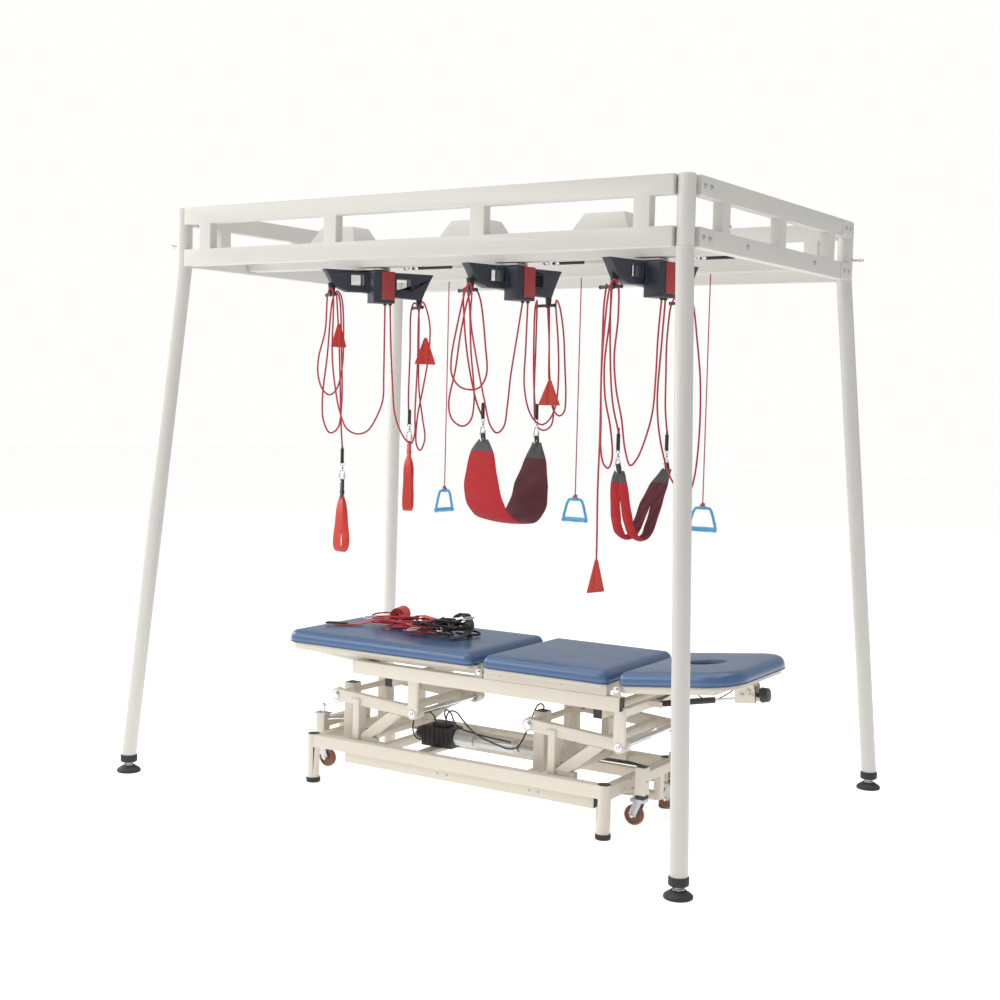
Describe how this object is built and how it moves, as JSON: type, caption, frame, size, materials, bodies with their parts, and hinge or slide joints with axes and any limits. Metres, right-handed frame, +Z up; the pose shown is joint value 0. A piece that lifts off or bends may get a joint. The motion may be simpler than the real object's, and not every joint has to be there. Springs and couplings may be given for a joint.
{
  "type": "sling suspension frame with treatment couch",
  "caption": "Free-standing overhead sling frame with swivelling rope units, pull handles and a sectioned lifting treatment couch on drop-down casters.",
  "frame": {"origin": "floor level, centre of the rectangle between the frame's feet", "axes": "+X along the frame towards the couch's head end, +Y to the rear, +Z up"},
  "size_m": [2.6162, 1.8082, 2.3],
  "materials": {
    "frame_paint": "satin",
    "couch_paint": "satin",
    "black_rubber": "matte",
    "unit_plastic": "satin",
    "cushion_vinyl": "semi-gloss",
    "rope_red": "braided",
    "sling_fabric": "woven",
    "handle_plastic": "glossy",
    "bright_steel": "bright",
    "black_plastic": "satin",
    "wheel_tread": "satin"
  },
  "bodies": {
    "frame": {"leg_front_left": "frame_paint", "leg_front_right": "frame_paint", "leg_rear_left": "frame_paint", "leg_rear_right": "frame_paint", "foot_front_left": "black_rubber", "foot_front_right": "black_rubber", "foot_rear_left": "black_rubber", "foot_rear_right": "black_rubber", "truss_front": "frame_paint", "truss_rear": "frame_paint", "truss_left": "frame_paint", "truss_right": "frame_paint", "track_front": "frame_paint", "track_rear": "frame_paint", "couch_base": "couch_paint", "actuator_body": "black_plastic"},
    "trolley_1": {"trolley_1": "frame_paint"},
    "unit_1": {"unit_1": "unit_plastic", "rope_left_1": "rope_red", "rope_right_1": "rope_red", "strap_1a": "sling_fabric", "strap_1b": "sling_fabric"},
    "pull_1": {"handle_1": "handle_plastic", "pull_cord_1": "rope_red"},
    "trolley_2": {"trolley_2": "frame_paint"},
    "unit_2": {"unit_2": "unit_plastic", "rope_left_2": "rope_red", "rope_right_2": "rope_red", "sling_2": "sling_fabric"},
    "pull_2": {"handle_2": "handle_plastic", "pull_cord_2": "rope_red"},
    "trolley_3": {"trolley_3": "frame_paint"},
    "unit_3": {"unit_3": "unit_plastic", "rope_left_3": "rope_red", "rope_right_3": "rope_red", "rope_long_3": "rope_red", "sling_3": "sling_fabric"},
    "pull_3": {"handle_3": "handle_plastic", "pull_cord_3": "rope_red"},
    "arm_left": {"arm_left": "couch_paint"},
    "arm_right": {"arm_right": "couch_paint"},
    "couch_top": {"upper_frame": "couch_paint", "cushion_mid": "cushion_vinyl"},
    "leg_section": {"leg_frame": "couch_paint", "cushion_leg": "cushion_vinyl", "accessory_pile": "sling_fabric"},
    "head_section": {"head_frame": "couch_paint", "cushion_head": "cushion_vinyl"},
    "gas_cylinder": {"gas_cylinder": "black_plastic"},
    "gas_rod": {"gas_rod": "bright_steel"},
    "actuator_rod": {"actuator_rod": "bright_steel"},
    "caster_frame": {"caster_frame": "couch_paint"},
    "caster_fork_1": {"caster_fork_1": "bright_steel"},
    "caster_wheel_1": {"caster_wheel_1": "wheel_tread"},
    "caster_fork_2": {"caster_fork_2": "bright_steel"},
    "caster_wheel_2": {"caster_wheel_2": "wheel_tread"},
    "caster_fork_3": {"caster_fork_3": "bright_steel"},
    "caster_wheel_3": {"caster_wheel_3": "wheel_tread"},
    "caster_fork_4": {"caster_fork_4": "bright_steel"},
    "caster_wheel_4": {"caster_wheel_4": "wheel_tread"}
  },
  "joints": [
    {"name": "trolley_1_travel", "type": "slide", "parent": "frame", "child": "trolley_1", "axis": [1, 0, 0], "range_m": [-0.2, 0.06]},
    {"name": "unit_1_swivel", "type": "hinge", "parent": "trolley_1", "child": "unit_1", "pos_m": [-0.47, -0.27, 2.066], "axis": [0, 0, 1], "range_deg": [-90, 90]},
    {"name": "pull_1_swing", "type": "hinge", "parent": "frame", "child": "pull_1", "pos_m": [-0.536, 0.31, 2.079], "axis": [1, 0, 0], "range_deg": [-12, 12]},
    {"name": "trolley_2_travel", "type": "slide", "parent": "frame", "child": "trolley_2", "axis": [1, 0, 0], "range_m": [-0.06, 0.06]},
    {"name": "unit_2_swivel", "type": "hinge", "parent": "trolley_2", "child": "unit_2", "pos_m": [0.19, -0.28, 2.066], "axis": [0, 0, 1], "range_deg": [-90, 90]},
    {"name": "pull_2_swing", "type": "hinge", "parent": "frame", "child": "pull_2", "pos_m": [0.141, 0.31, 2.079], "axis": [1, 0, 0], "range_deg": [-12, 12]},
    {"name": "trolley_3_travel", "type": "slide", "parent": "frame", "child": "trolley_3", "axis": [1, 0, 0], "range_m": [-0.06, 0.08]},
    {"name": "unit_3_swivel", "type": "hinge", "parent": "trolley_3", "child": "unit_3", "pos_m": [0.79, -0.29, 2.066], "axis": [0, 0, 1], "range_deg": [-90, 90]},
    {"name": "pull_3_swing", "type": "hinge", "parent": "frame", "child": "pull_3", "pos_m": [0.731, 0.31, 2.079], "axis": [1, 0, 0], "range_deg": [-12, 12]},
    {"name": "couch_lift", "type": "hinge", "parent": "frame", "child": "arm_left", "pos_m": [-0.4997, -0.23745, 0.362], "axis": [0.0349, -0.9994, 0], "range_deg": [0, 30]},
    {"name": "arm_right_turn", "type": "hinge", "parent": "frame", "child": "arm_right", "pos_m": [0.39976, -0.20604, 0.362], "axis": [0.0349, -0.9994, 0], "range_deg": [0, 30]},
    {"name": "couch_level", "type": "hinge", "parent": "arm_left", "child": "couch_top", "pos_m": [-0.10993, -0.22384, 0.335], "axis": [0.0349, -0.9994, 0], "range_deg": [-30, 0]},
    {"name": "leg_section_tilt", "type": "hinge", "parent": "couch_top", "child": "leg_section", "pos_m": [0.19988, -0.21302, 0.54], "axis": [0.0349, -0.9994, 0], "range_deg": [-15, 0]},
    {"name": "head_section_tilt", "type": "hinge", "parent": "couch_top", "child": "head_section", "pos_m": [0.78252, -0.19267, 0.545], "axis": [0.0349, -0.9994, 0], "range_deg": [-15, 20]},
    {"name": "gas_cylinder_turn", "type": "hinge", "parent": "couch_top", "child": "gas_cylinder", "pos_m": [0.83449, -0.19086, 0.46], "axis": [0.0349, -0.9994, 0], "range_deg": [-17, 23]},
    {"name": "gas_rod_slide", "type": "slide", "parent": "gas_cylinder", "child": "gas_rod", "axis": [0.9806, 0.0342, 0.1931], "range_m": [-0.026, 0.034]},
    {"name": "actuator_rod_slide", "type": "slide", "parent": "frame", "child": "actuator_rod", "axis": [0.9994, 0.0349, 0], "range_m": [0, 0.084]},
    {"name": "caster_drop", "type": "slide", "parent": "frame", "child": "caster_frame", "axis": [0, 0, 1], "range_m": [-0.034, 0]},
    {"name": "caster_1_swivel", "type": "hinge", "parent": "caster_frame", "child": "caster_fork_1", "pos_m": [-0.62673, -0.38197, 0.1497], "axis": [0, 0, 1], "continuous": true},
    {"name": "caster_1_roll", "type": "hinge", "parent": "caster_fork_1", "child": "caster_wheel_1", "pos_m": [-0.59875, -0.38099, 0.0725], "axis": [-0.0349, 0.9994, 0], "continuous": true},
    {"name": "caster_2_swivel", "type": "hinge", "parent": "caster_frame", "child": "caster_fork_2", "pos_m": [-0.6365, -0.10214, 0.1497], "axis": [0, 0, 1], "continuous": true},
    {"name": "caster_2_roll", "type": "hinge", "parent": "caster_fork_2", "child": "caster_wheel_2", "pos_m": [-0.60852, -0.10117, 0.0725], "axis": [-0.0349, 0.9994, 0], "continuous": true},
    {"name": "caster_3_swivel", "type": "hinge", "parent": "caster_frame", "child": "caster_fork_3", "pos_m": [0.84038, -0.33074, 0.1497], "axis": [0, 0, 1], "continuous": true},
    {"name": "caster_3_roll", "type": "hinge", "parent": "caster_fork_3", "child": "caster_wheel_3", "pos_m": [0.81239, -0.33172, 0.0725], "axis": [-0.0349, 0.9994, 0], "continuous": true},
    {"name": "caster_4_swivel", "type": "hinge", "parent": "caster_frame", "child": "caster_fork_4", "pos_m": [0.83061, -0.05091, 0.1497], "axis": [0, 0, 1], "continuous": true},
    {"name": "caster_4_roll", "type": "hinge", "parent": "caster_fork_4", "child": "caster_wheel_4", "pos_m": [0.80262, -0.05189, 0.0725], "axis": [-0.0349, 0.9994, 0], "continuous": true}
  ],
  "couplings": [
    {"joint": "arm_right_turn", "follows": "couch_lift", "ratio": 1},
    {"joint": "couch_level", "follows": "couch_lift", "ratio": -1},
    {"joint": "actuator_rod_slide", "follows": "couch_lift", "m_per_rad": 0.1582},
    {"joint": "gas_cylinder_turn", "follows": "head_section_tilt", "ratio": 1.09},
    {"joint": "gas_rod_slide", "follows": "head_section_tilt", "m_per_rad": 0.094}
  ]
}
